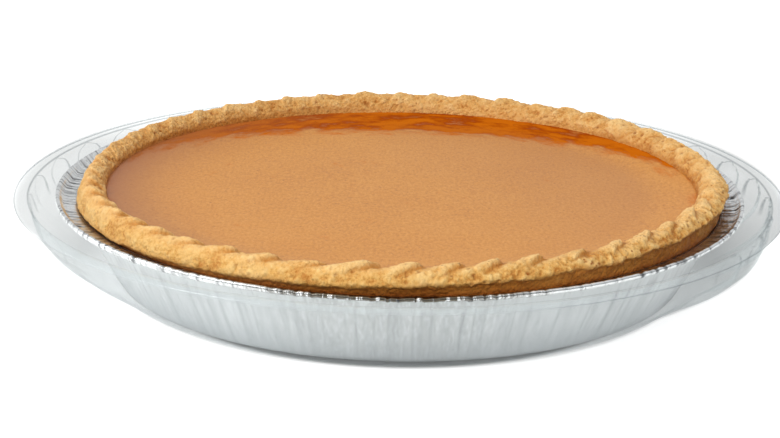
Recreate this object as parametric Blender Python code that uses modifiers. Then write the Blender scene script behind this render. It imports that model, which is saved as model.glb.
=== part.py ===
# Pumpkin pie with a rope-crimped crust, baked in a pressed foil tin, in its clear plastic tray.
# Metres, +Z up. The origin is on the underside, at the middle of the tray's foot.

import math

import bpy
from mathutils import Matrix

MM = 0.001
GAP = 0.3 * MM                  # between pieces that touch

# Clear tray: a thin moulded dish on a foot ring, with arched pockets round its wall
TRAY_WALL = 0.6 * MM
TRAY_FOOT_R = 127.0 * MM        # outer edge of the foot ring
TRAY_FOOT_WIDTH = 6.0 * MM
TRAY_PANEL_RISE = 1.2 * MM      # the floor inside the ring stands this far up
TRAY_MOUTH_R = 165.0 * MM
TRAY_RIM_R = 170.4 * MM
TRAY_RIM_Z = 39.6 * MM
TRAY_POCKETS = 34
TRAY_POCKET_DEPTH = 2.0 * MM
TRAY_POCKET_AT = math.radians(166.8)    # the middle of one of the pockets
TRAY_STEPS = 3 * TRAY_POCKETS

# Foil tin: a 12 inch pie pan with a sloping flange and a rolled rim
TIN_WALL = 0.5 * MM
TIN_FLOOR_R = 125.0 * MM
TIN_FLOOR_Z = TRAY_PANEL_RISE + TRAY_WALL + GAP
TIN_THROAT_R = 142.0 * MM       # where the wall turns out into the flange
TIN_THROAT_Z = 33.6 * MM
TIN_RIM_R = 152.4 * MM
TIN_RIM_Z = 35.4 * MM           # middle of the rolled rim
TIN_ROLL_R = 1.2 * MM
TIN_STEPS = 72

# Crust: lines the tin, stands up past it and turns over into a rope-crimped edge
CRUST_FLOOR = 4.0 * MM
CRUST_FLOOR_R = 115.0 * MM      # inside corner, under the filling
CRUST_MOUTH_R = 131.5 * MM      # where the filling meets the crust
CRUST_MOUTH_Z = 39.8 * MM
CRUST_CREST_R = 138.4 * MM
CRUST_CREST_Z = 44.7 * MM       # bottom of the dips between the crimps
CRUST_CREST_WIDTH = 4.2 * MM
CRUST_LIP_R = 144.4 * MM
CRUST_LIP_Z = 40.4 * MM
CRUST_UNDERLIP_Z = 38.6 * MM    # where the lip turns back to the wall
CRIMPS = 48
CRIMP_HEIGHT = 3.2 * MM
CRIMP_PRESS = 0.64              # mean share of that height, which differs round the pie:
CRIMP_PRESS_SWING = 0.34        # most at the near right, least at the far left
CRIMP_PRESS_AT = math.radians(-55)
CRIMP_TWIST = 0.5               # how far, in crimps, a ridge leans back on its way out to the lip
CRIMP_REACH = 7.5 * MM          # half width of the band that the crimping shapes
CRIMP_STEEP_PART = 0.25         # share of each crimp taken by its steep side
CRIMP_AT = math.radians(-88.6)  # where one of the crimps peaks
CRUST_STEPS = 4 * CRIMPS
LIP_DROP = 2.4 * MM             # the lip hangs lower at the left than at the right
LIP_DROP_AT = math.radians(160)
RIM_IN = 0.25 * MM              # the baked edge shrank a little
RIM_SHIFT = 0.35 * MM           # and sits off centre, towards +X
RIM_LIFT = 1.4 * MM             # it stands higher at the right front
RIM_LIFT_AT = math.radians(-30)
RIM_FAR_LIFT = 1.2 * MM         # and a little higher at the far side
RIM_WANDER = 0.5 * MM

# Filling: a flat top with a band that climbs to the crust
FILL_LEVEL = 36.8 * MM
FILL_FLAT_R = 110.0 * MM
FILL_BAND_R = 122.0 * MM
FILL_BAND_Z = 38.3 * MM
FILL_STEPS = 96


def new_material(name, color, roughness, metallic=0.0, alpha=1.0, transmission=0.0):
    """A Principled BSDF material."""
    material = bpy.data.materials.new(name)
    material.use_nodes = True
    shader = material.node_tree.nodes["Principled BSDF"]
    shader.inputs["Base Color"].default_value = (*color, 1.0)
    shader.inputs["Roughness"].default_value = roughness
    shader.inputs["Metallic"].default_value = metallic
    shader.inputs["Alpha"].default_value = alpha
    shader.inputs["Transmission Weight"].default_value = transmission
    material.diffuse_color = (*color, alpha)
    return material


def turned(name, profile, steps, material, collection, reshape=None, start=0.0):
    """Turn a profile of (radius, height) points about Z, from the angle start.

    The profile starts and ends on the axis. reshape takes (radius, height, angle) and gives the
    radius and height that the point moves to.
    """
    mesh = bpy.data.meshes.new(name)
    points = [(radius, 0.0, height) for radius, height in profile]
    edges = [(i, i + 1) for i in range(len(points) - 1)]
    mesh.from_pydata(points, edges, [])
    blank = bpy.data.objects.new(name + "_profile", mesh)
    collection.objects.link(blank)
    screw = blank.modifiers.new("turn", "SCREW")
    screw.axis = "Z"
    screw.steps = screw.render_steps = steps
    screw.use_merge_vertices = True
    screw.merge_threshold = 0.00001

    evaluated = blank.evaluated_get(bpy.context.evaluated_depsgraph_get())
    solid_mesh = bpy.data.meshes.new_from_object(evaluated)
    bpy.data.objects.remove(blank)
    solid_mesh.name = name
    solid_mesh.transform(Matrix.Rotation(start, 4, "Z"))
    if reshape:
        for vertex in solid_mesh.vertices:
            x, y, height = vertex.co
            radius, angle = math.hypot(x, y), math.atan2(y, x)
            radius, height = reshape(radius, height, angle)
            vertex.co = (radius * math.cos(angle), radius * math.sin(angle), height)
    solid_mesh.materials.clear()
    solid_mesh.materials.append(material)
    solid_mesh.shade_smooth()
    solid_mesh.set_sharp_from_angle(angle=math.radians(40))
    solid = bpy.data.objects.new(name, solid_mesh)
    collection.objects.link(solid)
    return solid


def smooth(value):
    """Ease from 0 to 1 as value goes from 0 to 1."""
    value = min(max(value, 0.0), 1.0)
    return value * value * (3.0 - 2.0 * value)


def crimp_wave(turns):
    """Height of the crimping, 0 to 1: a peak at whole turns, a steep drop, then a long climb."""
    climb = 1.0 - CRIMP_STEEP_PART
    part = (turns + climb) % 1.0
    return smooth(part / climb) if part < climb else 1.0 - smooth((part - climb) / CRIMP_STEEP_PART)


def shape_crust(radius, height, angle):
    """Crimp the standing edge, and let it sit as unevenly as baked pastry does."""
    in_lip = height > CRUST_UNDERLIP_Z - GAP and radius > CRUST_CREST_R
    if height <= CRUST_MOUTH_Z and not in_lip:
        return radius, height
    standing = 1.0 if in_lip else smooth((height - CRUST_MOUTH_Z) / (CRUST_LIP_Z - CRUST_MOUTH_Z))
    across = (radius - CRUST_CREST_R) / CRIMP_REACH
    wave = crimp_wave(CRIMPS * (angle - CRIMP_AT) / math.tau + CRIMP_TWIST * across)
    press = CRIMP_PRESS + CRIMP_PRESS_SWING * math.cos(angle - CRIMP_PRESS_AT)
    height += CRIMP_HEIGHT * press * wave * max(0.0, 1.0 - across * across) * standing
    height += standing * RIM_LIFT * smooth(1.0 - abs(angle - RIM_LIFT_AT) / math.radians(70))
    height += standing * RIM_FAR_LIFT * max(0.0, math.sin(angle))
    if in_lip:
        lip = smooth((radius - CRUST_CREST_R) / (CRUST_LIP_R - CRUST_CREST_R))
        level = math.cos(-math.pi / 2 - LIP_DROP_AT)
        height -= LIP_DROP * lip * (math.cos(angle - LIP_DROP_AT) - level)
    out = RIM_SHIFT * math.cos(angle) - RIM_IN
    out += RIM_WANDER * (math.sin(3 * angle + 0.6) + 0.6 * math.sin(7 * angle + 2.0))
    return radius + standing * out, height


def crust_profile():
    """Inside floor to crimped edge, over the lip, then down the outside to the underside."""
    tin_slope = (TIN_THROAT_R - TIN_FLOOR_R) / (TIN_THROAT_Z - TIN_FLOOR_Z)
    outside_gap = TIN_WALL + 2 * GAP
    bottom_z = TIN_FLOOR_Z + TIN_WALL + GAP
    bottom_r = TIN_FLOOR_R + tin_slope * (bottom_z - TIN_FLOOR_Z) - outside_gap
    neck_r = TIN_THROAT_R - outside_gap
    half_crest = CRUST_CREST_WIDTH / 2
    return [
        (0.0, bottom_z + CRUST_FLOOR),
        (CRUST_FLOOR_R, bottom_z + CRUST_FLOOR),
        (CRUST_MOUTH_R, CRUST_MOUTH_Z),
        (CRUST_MOUTH_R + 2.0 * MM, CRUST_MOUTH_Z + 2.5 * MM),
        (CRUST_CREST_R - half_crest, CRUST_CREST_Z),
        (CRUST_CREST_R + half_crest, CRUST_CREST_Z),
        (CRUST_LIP_R - 1.2 * MM, CRUST_LIP_Z + 1.8 * MM),
        (CRUST_LIP_R, CRUST_LIP_Z),
        (CRUST_LIP_R - 1.2 * MM, CRUST_UNDERLIP_Z),
        (neck_r, TIN_THROAT_Z),
        (bottom_r, bottom_z),
        (0.0, bottom_z),
    ]


def filling_profile():
    """The top from the middle to the crust, then down the crust's inside to the floor."""
    floor_z = TIN_FLOOR_Z + TIN_WALL + GAP + CRUST_FLOOR + GAP
    side_gap = 1.5 * GAP
    return [
        (0.0, FILL_LEVEL),
        (FILL_FLAT_R, FILL_LEVEL),
        (FILL_BAND_R, FILL_BAND_Z),
        (CRUST_MOUTH_R - side_gap, CRUST_MOUTH_Z - GAP),
        (CRUST_FLOOR_R - side_gap, floor_z),
        (0.0, floor_z),
    ]


def tin_profile():
    """Inside floor, up to the flange, round the rolled rim and back down the outside."""
    roll = []
    for degrees in (150, 75, 0, -75):
        turn = math.radians(degrees)
        roll.append((TIN_RIM_R - TIN_ROLL_R + TIN_ROLL_R * math.cos(turn),
                     TIN_RIM_Z + TIN_ROLL_R * math.sin(turn)))
    return [
        (0.0, TIN_FLOOR_Z + TIN_WALL),
        (TIN_FLOOR_R - TIN_WALL, TIN_FLOOR_Z + TIN_WALL),
        (TIN_THROAT_R - TIN_WALL, TIN_THROAT_Z + TIN_WALL / 2),
        *roll,
        (TIN_THROAT_R, TIN_THROAT_Z - TIN_WALL / 2),
        (TIN_FLOOR_R, TIN_FLOOR_Z),
        (0.0, TIN_FLOOR_Z),
    ]


def shape_tray(radius, height, angle):
    """Push the arched pockets out of the wall; they fade out towards the foot and the rim."""
    low, high = 0.2 * TRAY_RIM_Z, 0.93 * TRAY_RIM_Z
    if radius < TRAY_FOOT_R or not low < height < high:
        return radius, height
    band = math.sin(math.pi * (height - low) / (high - low))
    wave = 0.5 + 0.5 * math.cos(TRAY_POCKETS * (angle - TRAY_POCKET_AT))
    return radius + TRAY_POCKET_DEPTH * band * wave, height


def tray_profile():
    """The inside from the raised floor to the rim, then the outside back down to the foot."""
    ring_r = TRAY_FOOT_R - TRAY_FOOT_WIDTH
    outside = [
        (0.0, TRAY_PANEL_RISE),
        (ring_r - 1.5 * MM, TRAY_PANEL_RISE),
        (ring_r, 0.0),
        (TRAY_FOOT_R, 0.0),
        (TRAY_FOOT_R + 19.0 * MM, 0.33 * TRAY_RIM_Z),
        (TRAY_MOUTH_R - 7.0 * MM, 0.57 * TRAY_RIM_Z),
        (TRAY_MOUTH_R - 1.5 * MM, 0.76 * TRAY_RIM_Z),
        (TRAY_MOUTH_R, TRAY_RIM_Z - TRAY_WALL - 1.0 * MM),
        (TRAY_RIM_R, TRAY_RIM_Z - TRAY_WALL),
    ]
    lean = 0.8 * TRAY_WALL      # a sloping wall's inside lies this far in and up from its outside
    inside = [(radius, height + TRAY_WALL) for radius, height in outside[:3]]
    inside += [(radius - lean, height + lean) for radius, height in outside[3:8]]
    inside.append((TRAY_RIM_R, TRAY_RIM_Z))
    return inside + outside[::-1]


def build():
    for old in list(bpy.data.objects):
        bpy.data.objects.remove(old, do_unlink=True)
    pie = bpy.data.collections.new("pumpkin_pie")
    bpy.context.scene.collection.children.link(pie)

    pastry = new_material("baked_pastry", (0.72, 0.42, 0.13), 0.62)
    custard = new_material("pumpkin_custard", (0.66, 0.29, 0.08), 0.4)
    foil = new_material("pressed_foil", (0.80, 0.81, 0.81), 0.3, metallic=1.0)
    clear_plastic = new_material("clear_plastic", (0.93, 0.94, 0.94), 0.08, alpha=0.35, transmission=0.6)

    turned("pie_crust", crust_profile(), CRUST_STEPS, pastry, pie, shape_crust, CRIMP_AT)
    turned("pumpkin_filling", filling_profile(), FILL_STEPS, custard, pie)
    turned("foil_tin", tin_profile(), TIN_STEPS, foil, pie)
    turned("clear_tray", tray_profile(), TRAY_STEPS, clear_plastic, pie, shape_tray, TRAY_POCKET_AT)


build()
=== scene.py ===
# A 12 inch pumpkin pie: rope-crimped baked crust, smooth pumpkin custard, the foil pan it was
# baked in and the clear moulded tray it is carried in.
import math
import bpy
import numpy as np
from mathutils import Matrix, Vector


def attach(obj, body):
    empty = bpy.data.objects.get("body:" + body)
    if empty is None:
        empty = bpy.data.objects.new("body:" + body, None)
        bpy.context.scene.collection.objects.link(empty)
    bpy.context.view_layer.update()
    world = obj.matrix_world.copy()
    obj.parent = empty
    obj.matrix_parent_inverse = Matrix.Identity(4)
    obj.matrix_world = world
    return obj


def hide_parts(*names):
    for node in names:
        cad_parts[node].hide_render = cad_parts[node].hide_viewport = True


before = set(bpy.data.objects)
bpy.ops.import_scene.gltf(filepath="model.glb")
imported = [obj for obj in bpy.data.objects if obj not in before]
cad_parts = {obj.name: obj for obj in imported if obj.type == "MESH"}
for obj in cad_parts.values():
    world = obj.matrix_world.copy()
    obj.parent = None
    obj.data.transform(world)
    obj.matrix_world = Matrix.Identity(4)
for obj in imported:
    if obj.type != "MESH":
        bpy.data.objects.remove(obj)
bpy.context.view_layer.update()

mm = 0.001
scene = bpy.context.scene
scene.view_settings.view_transform = "Standard"
# a look through the tray's pockets crosses a dozen clear sheets and more
scene.cycles.transparent_max_bounces = 40


def srgb(code):
    # "#rrggbb" to the linear colour that a shader socket wants
    channels = [int(code[i:i + 2], 16) / 255 for i in (1, 3, 5)]
    linear = [c / 12.92 if c <= 0.04045 else ((c + 0.055) / 1.055) ** 2.4 for c in channels]
    return (*linear, 1.0)


def addNode(tree, kind, settings=None, inputs=None):
    # one node: its settings by name, its inputs by name or number, each a value or a socket to link
    node = tree.nodes.new(kind)
    for name, value in (settings or {}).items():
        if name == "stops":
            ramp = node.color_ramp
            while len(ramp.elements) < len(value):
                ramp.elements.new(0.5)
            for element, (place, color) in zip(ramp.elements, value):
                element.position = place
                element.color = srgb(color)
        elif name == "curve":
            line = node.mapping.curves[0]
            while len(line.points) < len(value):
                line.points.new(0.5, 0.5)
            for point, place in zip(line.points, value):
                point.location = place
            node.mapping.update()
        else:
            setattr(node, name, value)
    for name, value in (inputs or {}).items():
        if isinstance(value, bpy.types.NodeSocket):
            tree.links.new(value, node.inputs[name])
        else:
            node.inputs[name].default_value = value
    return node


def softLine(points, spacing):
    # a Catmull-Rom line through profile points, with a vertex about every spacing (in mm);
    # each point is (radius, height, other values ...) and all of them are carried along
    p = np.array(points, float)
    ends = np.vstack([2 * p[0] - p[1], p, 2 * p[-1] - p[-2]])
    rows = []
    for a, b, c, d in zip(ends, ends[1:], ends[2:], ends[3:]):
        steps = max(1, int(round(np.hypot(*(c - b)[:2]) / spacing)))
        for t in np.arange(steps) / steps:
            rows.append(0.5 * (2 * b + (c - a) * t + (2 * a - 5 * b + 4 * c - d) * t * t
                               + (3 * b - a - 3 * c + d) * t ** 3))
    rows.append(p[-1])
    return np.array(rows)


def turnedMesh(name, rows, steps, extra=()):
    # turns the rows (radius, height, extra values ...) about Z; the extra values and the angle
    # become point attributes; a row on the axis becomes one vertex
    angle = np.arange(steps) * 2 * np.pi / steps - np.pi
    verts, rings, values = [], [], []
    for row in rows:
        first = sum(len(v) for v in verts)
        if row[0] < 1e-6:
            verts.append(np.array([[0.0, 0.0, row[1]]]))
            rings.append(np.full(steps, first))
            values.append(np.array([[0.0, *row[2:]]]))
        else:
            verts.append(np.stack([row[0] * np.cos(angle), row[0] * np.sin(angle),
                                   np.full(steps, row[1])], 1))
            rings.append(first + np.arange(steps))
            values.append(np.column_stack([angle, np.tile(row[2:], (steps, 1))]))
    faces = []
    for low, high in zip(rings, rings[1:]):
        quad = np.stack([low, np.roll(low, -1), np.roll(high, -1), high], 1)
        if low[0] == low[1]:
            quad = quad[:, [0, 2, 3]]
        elif high[0] == high[1]:
            quad = quad[:, [0, 1, 2]]
        faces += quad.tolist()
    mesh = bpy.data.meshes.new(name)
    mesh.from_pydata(np.vstack(verts).tolist(), [], faces)
    table = np.vstack(values)
    for column, label in enumerate(("angle", *extra)):
        layer = mesh.attributes.new(label, "FLOAT", "POINT")
        layer.data.foreach_set("value", np.ascontiguousarray(table[:, column], np.float32))
    mesh.shade_smooth()
    return mesh


def readPoints(mesh):
    # the places of all vertices as rows
    co = np.empty(len(mesh.vertices) * 3)
    mesh.vertices.foreach_get("co", co)
    return co.reshape(-1, 3)


def readValues(mesh, label):
    values = np.empty(len(mesh.vertices), np.float32)
    mesh.attributes[label].data.foreach_get("value", values)
    return values.astype(float)


def movePoints(mesh, co):
    mesh.vertices.foreach_set("co", co.ravel())
    mesh.update()


def placePiece(mesh, name, material, node):
    piece = bpy.data.objects.new(name, mesh)
    scene.collection.objects.link(piece)
    mesh.materials.clear()
    mesh.materials.append(material)
    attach(piece, "root")
    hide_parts(node)
    return piece


def moved(mesh, name, tree, values):
    # runs a Geometry Nodes tree over a mesh, its inputs set by name, and gives the plain result
    blank = bpy.data.objects.new(name + "Blank", mesh)
    scene.collection.objects.link(blank)
    modifier = blank.modifiers.new("nodes", "NODES")
    modifier.node_group = tree
    for item in tree.interface.items_tree:
        if item.in_out == "INPUT" and item.name in values:
            modifier[item.identifier] = values[item.name]
    result = bpy.data.meshes.new_from_object(blank.evaluated_get(bpy.context.evaluated_depsgraph_get()))
    result.name = name
    bpy.data.objects.remove(blank)
    bpy.data.node_groups.remove(tree)
    return result


def newTree(name, inputs):
    tree = bpy.data.node_groups.new(name, "GeometryNodeTree")
    tree.interface.new_socket("Geometry", in_out="INPUT", socket_type="NodeSocketGeometry")
    tree.interface.new_socket("Geometry", in_out="OUTPUT", socket_type="NodeSocketGeometry")
    for label, kind in inputs:
        tree.interface.new_socket(label, in_out="INPUT", socket_type="NodeSocket" + kind)
    return tree, addNode(tree, "NodeGroupInput").outputs


def newMaterial(name):
    material = bpy.data.materials.new(name)
    material.use_nodes = True
    tree = material.node_tree
    tree.nodes.clear()
    return material, tree


# camera, light and floor

cameraSet = {
    "distance": 0.950,        # from the middle of the base
    "elevation": 18.3,
    "roll": 0.9,
    "lens": 96.86,
    "aimRight": -4.2 * mm,    # the point looked at, off the middle of the base
    "aimUp": 22.6 * mm,
}

studio = {
    "top": "#ffffff",         # room colours: overhead, then the walls
    "back": "#e9ebec",
    "left": "#f2f4f5",
    "right": "#b4b8bc",
    "front": "#3c4248",
    "skyStrength": 0.88,
    # name, place in metres, width, height, power in watts
    "lamps": [("keySoftbox", (-1.05, -0.45, 1.05), 0.7, 0.7, 6.8),
              ("windowStrip", (-1.30, 0.12, 0.42), 0.55, 0.22, 3.0),
              ("frontFill", (-0.1, -1.5, 1.0), 0.9, 0.6, 15.0)],
    "floorColor": "#cfcfce",
    # the light table's own light, graded into painted shade: round the tray, well away from it, on a
    # graded mask behind the tray, seen through the clear sheet, brighter at the left than at the right
    # where the pie's shadow falls, and almost none right below it
    "glowNear": 0.80,
    "glowNearRight": 0.67,
    "glowAway": 0.5,
    "glowLeft": 0.13,
    "glowRight": 0.08,
    "glowFoot": 0.35,
    "glowUnder": 0.02,
    "underAt": -17 * mm,      # the dark part below the tray: its middle and its radius
    "underReach": 107 * mm,
    "maskNear": 128.6 * mm,     # the mask is an egg: radius at the tray's foot and at its far end,
    "maskFar": 200.5 * mm,
    "maskLength": 140 * mm,   # the distance between the two middles
    "maskBulge": 5.0 * mm,    # and how much wider than a plain taper it is between them, at the
    "maskBulgeRight": 9.5 * mm,     # left and at the right
}


def makeCamera(settings):
    camera = bpy.data.objects.new("camera", bpy.data.cameras.new("camera"))
    scene.collection.objects.link(camera)
    camera.data.lens = settings["lens"]
    elevation = math.radians(settings["elevation"])
    place = settings["distance"] * Vector((0, -math.cos(elevation), math.sin(elevation)))
    target = Vector((settings["aimRight"], 0, settings["aimUp"]))
    look = (target - place).to_track_quat("-Z", "Y")
    turn = look.to_matrix().to_4x4() @ Matrix.Rotation(math.radians(settings["roll"]), 4, "Z")
    camera.matrix_world = Matrix.Translation(place) @ turn
    scene.camera = camera


def makeStudio(settings):
    world = bpy.data.worlds.new("studio")
    scene.world = world
    world.use_nodes = True
    tree = world.node_tree
    tree.nodes.clear()
    direction = addNode(tree, "ShaderNodeTexCoord").outputs["Generated"]
    axes = addNode(tree, "ShaderNodeSeparateXYZ", inputs={0: direction}).outputs
    # four wall colours that melt into each other, and a white ceiling
    across = addNode(tree, "ShaderNodeMapRange", {"interpolation_type": "SMOOTHSTEP"},
                     {0: axes["X"], 1: -0.8, 2: 0.8}).outputs[0]
    sides = addNode(tree, "ShaderNodeMix", {"data_type": "RGBA"},
                    {0: across, 6: srgb(settings["left"]), 7: srgb(settings["right"])}).outputs[2]
    depth = addNode(tree, "ShaderNodeMapRange", {"interpolation_type": "SMOOTHSTEP"},
                    {0: axes["Y"], 1: 0.25, 2: 0.95}).outputs[0]
    walls = addNode(tree, "ShaderNodeMix", {"data_type": "RGBA"},
                    {0: depth, 6: sides, 7: srgb(settings["back"])}).outputs[2]
    depth = addNode(tree, "ShaderNodeMapRange", {"interpolation_type": "SMOOTHSTEP"},
                    {0: axes["Y"], 1: -0.25, 2: -0.85}).outputs[0]
    walls = addNode(tree, "ShaderNodeMix", {"data_type": "RGBA"},
                    {0: depth, 6: walls, 7: srgb(settings["front"])}).outputs[2]
    above = addNode(tree, "ShaderNodeMapRange", {"interpolation_type": "SMOOTHSTEP"},
                    {0: axes["Z"], 1: 0.35, 2: 0.85}).outputs[0]
    sky = addNode(tree, "ShaderNodeMix", {"data_type": "RGBA"},
                  {0: above, 6: walls, 7: srgb(settings["top"])}).outputs[2]
    light = addNode(tree, "ShaderNodeBackground", inputs={0: sky, 1: settings["skyStrength"]})
    addNode(tree, "ShaderNodeOutputWorld", inputs={0: light.outputs[0]})

    for name, place, width, height, power in settings["lamps"]:
        lamp = bpy.data.objects.new(name, bpy.data.lights.new(name, "AREA"))
        lamp.data.shape = "RECTANGLE"
        lamp.data.size = width
        lamp.data.size_y = height
        lamp.data.energy = power
        lamp.location = place
        lamp.rotation_euler = (-Vector(place)).to_track_quat("-Z", "Y").to_euler()
        lamp.visible_glossy = name != "frontFill"     # it only lifts the shadows
        scene.collection.objects.link(lamp)

    mesh = bpy.data.meshes.new("floor")
    half = 6.0
    mesh.from_pydata([(-half, -half, 0), (half, -half, 0), (half, half, 0), (-half, half, 0)], [],
                     [(0, 1, 2, 3)])
    floor = bpy.data.objects.new("floor", mesh)
    floor.location.z = -0.2 * mm
    scene.collection.objects.link(floor)
    # white acrylic light table, its glow graded into painted shade under and behind the object
    material, tree = newMaterial("lightTablePaintedShade")
    place = addNode(tree, "ShaderNodeTexCoord").outputs["Object"]
    away = addNode(tree, "ShaderNodeVectorMath", {"operation": "LENGTH"}, {0: place}).outputs["Value"]
    axes = addNode(tree, "ShaderNodeSeparateXYZ", inputs={0: place}).outputs
    # how far outside the egg: every point is measured from its own middle on the egg's axis
    widen = (settings["maskFar"] - settings["maskNear"]) / settings["maskLength"]
    side = addNode(tree, "ShaderNodeMath", {"operation": "ABSOLUTE"}, {0: axes["X"]}).outputs[0]
    part = addNode(tree, "ShaderNodeMath", {"operation": "MULTIPLY_ADD"}, {
        0: side, 1: widen / math.sqrt(1 - widen ** 2), 2: axes["Y"]}).outputs[0]
    part = addNode(tree, "ShaderNodeMapRange", inputs={0: part, 2: settings["maskLength"]}).outputs[0]
    middle = addNode(tree, "ShaderNodeMath", {"operation": "MULTIPLY"}, {0: part, 1: settings["maskLength"]}).outputs[0]
    middle = addNode(tree, "ShaderNodeCombineXYZ", inputs={1: middle}).outputs[0]
    egg = addNode(tree, "ShaderNodeVectorMath", {"operation": "DISTANCE"}, {0: place, 1: middle}).outputs["Value"]
    radius = addNode(tree, "ShaderNodeMapRange", inputs={
        0: part, 3: settings["maskNear"], 4: settings["maskFar"]}).outputs[0]
    bulge = addNode(tree, "ShaderNodeMath", {"operation": "MULTIPLY"}, {0: part, 1: math.pi}).outputs[0]
    bulge = addNode(tree, "ShaderNodeMath", {"operation": "SINE"}, {0: bulge}).outputs[0]
    wide = addNode(tree, "ShaderNodeMapRange", {"interpolation_type": "SMOOTHSTEP"}, {
        0: axes["X"], 1: -0.03, 2: 0.03, 3: settings["maskBulge"], 4: settings["maskBulgeRight"]}).outputs[0]
    radius = addNode(tree, "ShaderNodeMath", {"operation": "MULTIPLY_ADD"}, {
        0: bulge, 1: wide, 2: radius}).outputs[0]
    egg = addNode(tree, "ShaderNodeMath", {"operation": "SUBTRACT"}, {0: egg, 1: radius}).outputs[0]
    # painted shade: the mask glows less at the right, where the pie's shadow falls
    glow = addNode(tree, "ShaderNodeMapRange", {"interpolation_type": "SMOOTHSTEP"}, {
        0: axes["X"], 1: -0.16, 2: 0.16, 3: settings["glowLeft"], 4: settings["glowRight"]}).outputs[0]
    # lighter where the tray's own shadow falls
    foot = addNode(tree, "ShaderNodeMapRange", {"interpolation_type": "SMOOTHSTEP"}, {
        0: away, 1: 0.124, 2: 0.151, 3: settings["glowFoot"], 4: 0.0}).outputs[0]
    less = addNode(tree, "ShaderNodeMapRange", {"interpolation_type": "SMOOTHSTEP"}, {
        0: axes["X"], 1: 0.03, 2: 0.13, 3: 0.95, 4: 0.68}).outputs[0]
    foot = addNode(tree, "ShaderNodeMath", {"operation": "MULTIPLY"}, {0: foot, 1: less}).outputs[0]
    glow = addNode(tree, "ShaderNodeMath", {"operation": "ADD"}, {0: glow, 1: foot}).outputs[0]
    bright = addNode(tree, "ShaderNodeMapRange", {"interpolation_type": "SMOOTHSTEP"}, {
        0: axes["X"], 1: -0.16, 2: 0.16, 3: settings["glowNear"], 4: settings["glowNearRight"]}).outputs[0]
    # the mask fades out behind the tray; its edge is crisp in front and soft toward the back
    behind = addNode(tree, "ShaderNodeMapRange", {"interpolation_type": "SMOOTHSTEP"}, {
        0: axes["Y"], 1: 0.19, 2: 0.32}).outputs[0]
    glow = addNode(tree, "ShaderNodeMix", inputs={0: behind, 2: glow, 3: bright}).outputs[0]
    soft = addNode(tree, "ShaderNodeMapRange", inputs={
        0: axes["Y"], 1: 60 * mm, 2: 130 * mm, 3: 3 * mm, 4: 10 * mm}).outputs[0]
    egg = addNode(tree, "ShaderNodeMath", {"operation": "DIVIDE"}, {0: egg, 1: soft}).outputs[0]
    glow = addNode(tree, "ShaderNodeMapRange", {"interpolation_type": "SMOOTHSTEP"}, {
        0: egg, 1: -1.0, 2: 0.0, 3: glow, 4: bright}).outputs[0]
    # painted shade: almost no glow right below the tray
    under = addNode(tree, "ShaderNodeVectorMath", {"operation": "DISTANCE"}, {
        0: place, 1: (0, settings["underAt"], 0)}).outputs["Value"]
    glow = addNode(tree, "ShaderNodeMapRange", {"interpolation_type": "SMOOTHSTEP"}, {
        0: under, 1: settings["underReach"], 2: settings["underReach"] + 4 * mm,
        3: settings["glowUnder"], 4: glow}).outputs[0]
    glow = addNode(tree, "ShaderNodeMapRange", {"interpolation_type": "SMOOTHSTEP"}, {
        0: away, 1: 0.30, 2: 0.55, 3: glow, 4: settings["glowAway"]}).outputs[0]
    shader = addNode(tree, "ShaderNodeBsdfPrincipled", inputs={
        "Base Color": srgb(settings["floorColor"]), "Roughness": 0.6,
        "Emission Color": (1, 1, 1, 1), "Emission Strength": glow})
    addNode(tree, "ShaderNodeOutputMaterial", inputs={0: shader.outputs[0]})
    mesh.materials.append(material)


# crust

crust = {
    "steps": 1296,
    "spacing": 0.5,
    "inside": [(0, 6.7), (115.2, 6.8), (128.4, 33.4)],
    # radius, height, toast (0 golden to 1 dark: browning, darkest as painted shade at the foot
    # of the side wall and beside the custard), crumb (0 smooth dough to 1 rough crumb), across (-1 at
    # the custard, 0 on the crest, 1 at the lip), pinch (share of the crimping) and lip (share of the lip's
    # drop to the left)
    "rim": [(128.4, 33.4, 0.30, 0.0, -1.4, 0.0, 0), (131.0, 38.6, 0.24, 0.4, -1.0, 0.05, 0),
            (132.1, 41.0, 0.06, 0.7, -0.75, 0.20, 0), (133.8, 43.2, 0.02, 0.8, -0.5, 0.50, 0),
            (136.2, 44.5, 0.00, 0.6, -0.2, 0.90, 0), (138.6, 44.8, 0.00, 0.5, 0.05, 1.0, 0),
            (140.9, 44.2, 0.00, 0.8, 0.3, 0.60, 0.1), (142.9, 42.8, 0.02, 1.0, 0.5, 0.14, 0.4),
            (144.2, 41.1, 0.06, 1.0, 0.7, 0.0, 0.8), (144.5, 39.9, 0.16, 0.9, 0.85, 0.0, 1),
            (144.0, 38.9, 0.34, 0.8, 1.0, 0.0, 1), (143.1, 38.0, 0.52, 0.7, 1.1, 0.0, 0.9),
            (142.5, 36.6, 0.56, 0.6, 1.2, 0.0, 0.5), (142.0, 35.1, 0.80, 0.3, 1.3, 0.0, 0.1),
            (141.1, 33.6, 1.00, 0.0, 1.4, 0.0, 0)],
    "outside": [(141.1, 33.6), (124.3, 3.1), (0, 2.9)],
    "crimps": 48,
    "firstCrest": math.radians(-88.6),
    "leanOut": 1.15,          # crimps that a ridge runs back on its way from the crest to the lip
    "leanIn": 0.35,           # and forward from the crest to the custard
    "height": 2.9 * mm,
    "lump": 0.95 * mm,
    "crumb": 0.65 * mm,
    "grain": 0.55 * mm,
    "pit": 0.70 * mm,
    "lipDrop": 3.0 * mm,      # the lip hangs lower at the left than at the right front
    "lipAt": math.radians(-20),
    "lift": 1.3 * mm,         # the whole edge stands higher at the right front
    "liftAt": math.radians(-30),
    "farLift": 2.1 * mm,      # and a little higher at the far side
    "leftIn": 1.3 * mm,       # the lip is narrower at the left
    "wander": 0.5 * mm,
    "golden": "#dfaa5c",
    "pale": "#f3cd88",
    "beige": "#fbf0f4",
    "toasted": "#bb772c",
    "brown": "#9c561a",
    "dark": "#6a300b",
}


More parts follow.
